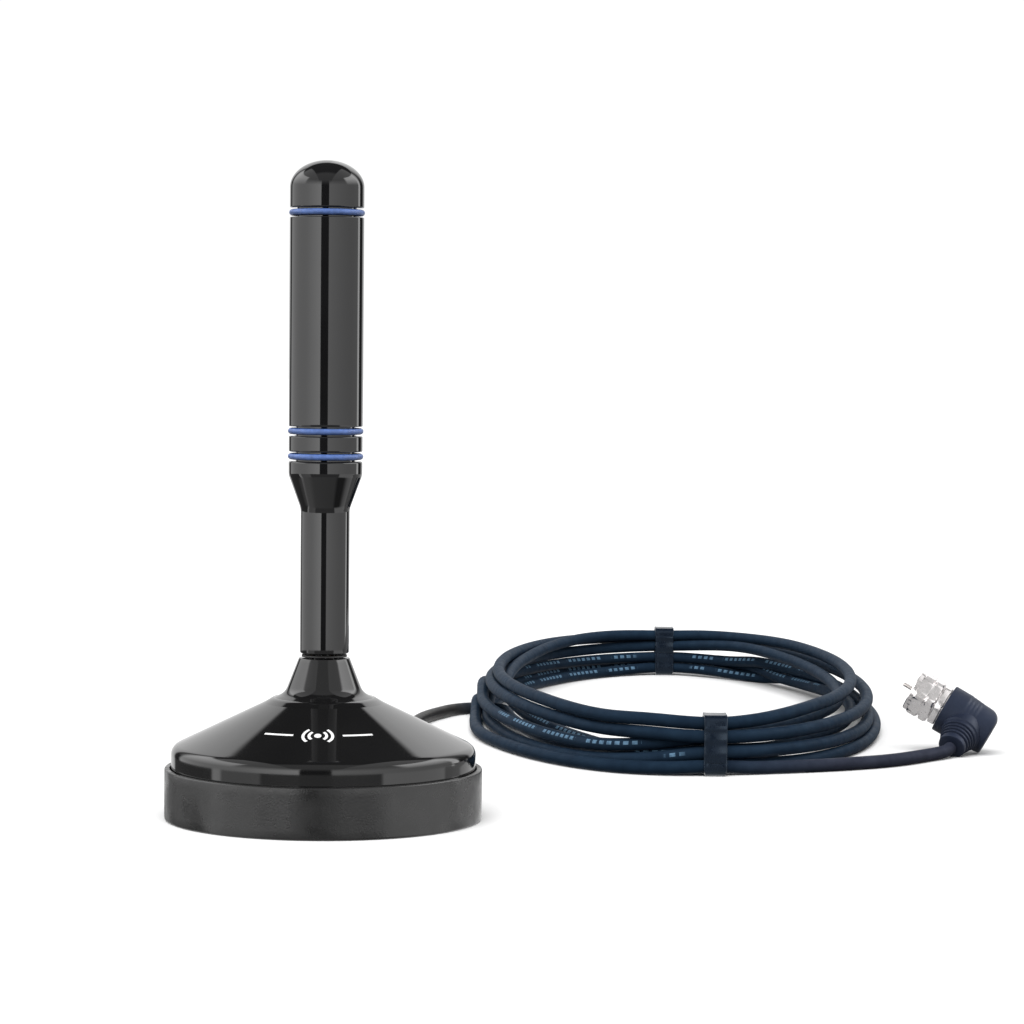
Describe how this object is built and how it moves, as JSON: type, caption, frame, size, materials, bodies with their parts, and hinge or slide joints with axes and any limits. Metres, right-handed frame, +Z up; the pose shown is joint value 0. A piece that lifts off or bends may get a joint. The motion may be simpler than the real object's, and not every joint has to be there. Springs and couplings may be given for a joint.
{
  "type": "desktop whip antenna with coaxial lead",
  "caption": "Desktop whip antenna: weighted round base in a rubber boot, screw-on two-diameter mast with trim rings, and a tied coil of thin coax ending in a right-angle screw-on plug.",
  "frame": {"origin": "middle of the base's underside, on the mast's axis", "axes": "+Z up along the mast, -Y towards the front, +X to the right seen from the front"},
  "size_m": [0.2045, 0.3699, 0.146],
  "materials": {
    "boot_rubber": "satin black rubber",
    "gloss_black": "glossy black moulding",
    "blue_trim": "soft blue ring",
    "black_rubber": "matt black rubber",
    "cable_jacket": "matt blue-black cable jacket",
    "tie_strap": "glossy black strap",
    "plug_moulding": "satin moulded plastic",
    "nickel": "bright nickel plate",
    "plate_steel": "stamped steel",
    "zinc": "zinc plate",
    "brass": "turned brass",
    "copper": "bare copper",
    "ferrite": "matt ferrite",
    "board": "green solder mask",
    "natural_plastic": "natural plastic",
    "white_plastic": "white dielectric"
  },
  "bodies": {
    "base": {"rubber_boot": "boot_rubber", "base_shell": "gloss_black", "magnet_ring": "ferrite", "base_plate": "plate_steel", "plate_screw_1": "zinc", "plate_screw_2": "zinc", "plate_screw_3": "zinc", "earth_lug": "brass", "earth_screw": "zinc", "stud": "zinc", "matching_board": "board", "contact_lug": "brass", "stud_washer": "zinc", "stud_nut": "zinc", "cable_gland": "black_rubber", "lead_in": "cable_jacket", "cable_lead": "cable_jacket", "cable_tail": "cable_jacket", "tie_front": "tie_strap", "tie_back": "tie_strap", "cable_coil": "cable_jacket", "plug_elbow": "plug_moulding", "plug_barrel": "nickel", "plug_insulator": "white_plastic", "plug_pin": "copper"},
    "mast_seat": {"mast_washer": "black_rubber"},
    "mast": {"mast_stem": "gloss_black", "stem_insert": "brass", "radiator_rod": "brass", "coil_former": "natural_plastic", "radiator_coil": "copper", "radome_tube": "gloss_black", "collar": "gloss_black", "top_cap": "gloss_black", "trim_ring_low": "blue_trim", "trim_ring_mid": "blue_trim", "trim_ring_top": "blue_trim"},
    "coupling_nut": {"plug_nut": "nickel"}
  },
  "joints": [
    {"name": "mast_rise", "type": "slide", "parent": "base", "child": "mast_seat", "axis": [0, 0, 1], "range_m": [0, 0.0058]},
    {"name": "mast_turn", "type": "hinge", "parent": "mast_seat", "child": "mast", "pos_m": [0, 0, 0.04], "axis": [0, 0, 1], "range_deg": [0, 2610]},
    {"name": "nut_spin", "type": "hinge", "parent": "base", "child": "coupling_nut", "pos_m": [0.1484, 0.13203, 0.01548], "axis": [-0.8502, 0.2097, 0.4829], "continuous": true}
  ],
  "couplings": [
    {"joint": "mast_turn", "follows": "mast_rise", "rad_per_m": 7854}
  ]
}
